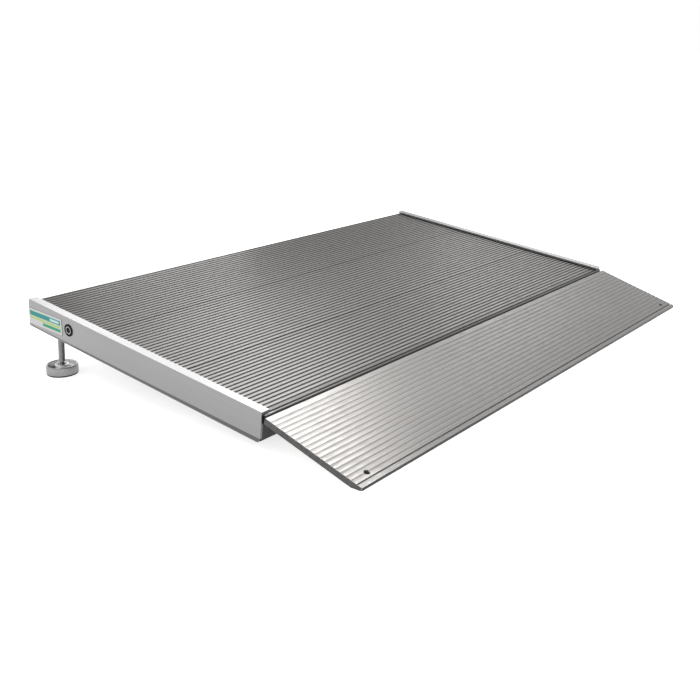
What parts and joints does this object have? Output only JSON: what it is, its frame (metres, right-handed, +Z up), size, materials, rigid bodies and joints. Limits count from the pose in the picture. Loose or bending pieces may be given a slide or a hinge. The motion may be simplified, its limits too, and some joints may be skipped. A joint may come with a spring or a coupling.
{
  "type": "threshold ramp",
  "caption": "Low aluminium doorway ramp with a ribbed deck between side rails, a hinged approach plate and screw-adjusted swivel legs.",
  "frame": {"origin": "centre of the footprint, on the floor", "axes": "+X across the ramp to the right going up, +Y up the ramp towards the doorway, +Z up"},
  "size_m": [0.9274, 0.6144, 0.1086],
  "materials": {
    "deck_aluminium": "mill finish, ribbed",
    "plate_aluminium": "mill finish, grooved",
    "rail_aluminium": "satin",
    "bracket_aluminium": "satin",
    "zinc_steel": "zinc plated",
    "foot_steel": "plated",
    "seat_nylon": "matt",
    "sole_rubber": "matt",
    "label_film": "printed film",
    "badge_film": "printed film"
  },
  "bodies": {
    "ramp_deck": {"left_side_rail": "rail_aluminium", "right_side_rail": "rail_aluminium", "upper_deck_plank": "deck_aluminium", "middle_deck_plank": "deck_aluminium", "front_deck_plank": "deck_aluminium", "left_rail_screws": "zinc_steel", "right_rail_screws": "zinc_steel", "left_leg_bracket": "bracket_aluminium", "right_leg_bracket": "bracket_aluminium", "leg_bracket_screws": "zinc_steel", "rail_label": "label_film", "rail_badge": "badge_film"},
    "approach_plate": {"approach_plate": "plate_aluminium"},
    "left_adjuster": {"left_adjuster_bush": "zinc_steel", "left_bush_clip": "zinc_steel"},
    "left_leg": {"left_leg_stem": "zinc_steel"},
    "left_swivel": {"left_ball_seat": "seat_nylon"},
    "left_foot": {"left_foot_cup": "foot_steel", "left_seat_ring": "zinc_steel", "left_foot_sole": "sole_rubber"},
    "right_adjuster": {"right_adjuster_bush": "zinc_steel", "right_bush_clip": "zinc_steel"},
    "right_leg": {"right_leg_stem": "zinc_steel"},
    "right_swivel": {"right_ball_seat": "seat_nylon"},
    "right_foot": {"right_foot_cup": "foot_steel", "right_seat_ring": "zinc_steel", "right_foot_sole": "sole_rubber"}
  },
  "joints": [
    {"name": "approach_plate_hinge", "type": "hinge", "parent": "ramp_deck", "child": "approach_plate", "pos_m": [0, -0.15943, 0.04299], "axis": [1, 0, 0], "range_deg": [0, 30]},
    {"name": "left_adjuster_turn", "type": "hinge", "parent": "ramp_deck", "child": "left_adjuster", "pos_m": [-0.4407, 0.25609, 0.05477], "axis": [0, -0.1184, 0.993], "range_deg": [-4085, 1805]},
    {"name": "left_leg_height", "type": "slide", "parent": "ramp_deck", "child": "left_leg", "axis": [0, -0.1184, 0.993], "range_m": [-0.00794, 0.01799]},
    {"name": "left_foot_pitch", "type": "hinge", "parent": "left_leg", "child": "left_swivel", "pos_m": [-0.4407, 0.26144, 0.0099], "axis": [1, 0, 0], "range_deg": [-12, 8]},
    {"name": "left_foot_roll", "type": "hinge", "parent": "left_swivel", "child": "left_foot", "pos_m": [-0.4407, 0.26144, 0.0099], "axis": [0, 1, 0], "range_deg": [-6, 6]},
    {"name": "right_adjuster_turn", "type": "hinge", "parent": "ramp_deck", "child": "right_adjuster", "pos_m": [0.4407, 0.25609, 0.05477], "axis": [0, -0.1184, 0.993], "range_deg": [-4085, 1805]},
    {"name": "right_leg_height", "type": "slide", "parent": "ramp_deck", "child": "right_leg", "axis": [0, -0.1184, 0.993], "range_m": [-0.00794, 0.01799]},
    {"name": "right_foot_pitch", "type": "hinge", "parent": "right_leg", "child": "right_swivel", "pos_m": [0.4407, 0.26144, 0.0099], "axis": [1, 0, 0], "range_deg": [-12, 8]},
    {"name": "right_foot_roll", "type": "hinge", "parent": "right_swivel", "child": "right_foot", "pos_m": [0.4407, 0.26144, 0.0099], "axis": [0, 1, 0], "range_deg": [-6, 6]}
  ],
  "couplings": [
    {"joint": "left_adjuster_turn", "follows": "left_leg_height", "rad_per_m": -3957.9},
    {"joint": "right_adjuster_turn", "follows": "right_leg_height", "rad_per_m": -3957.9}
  ]
}
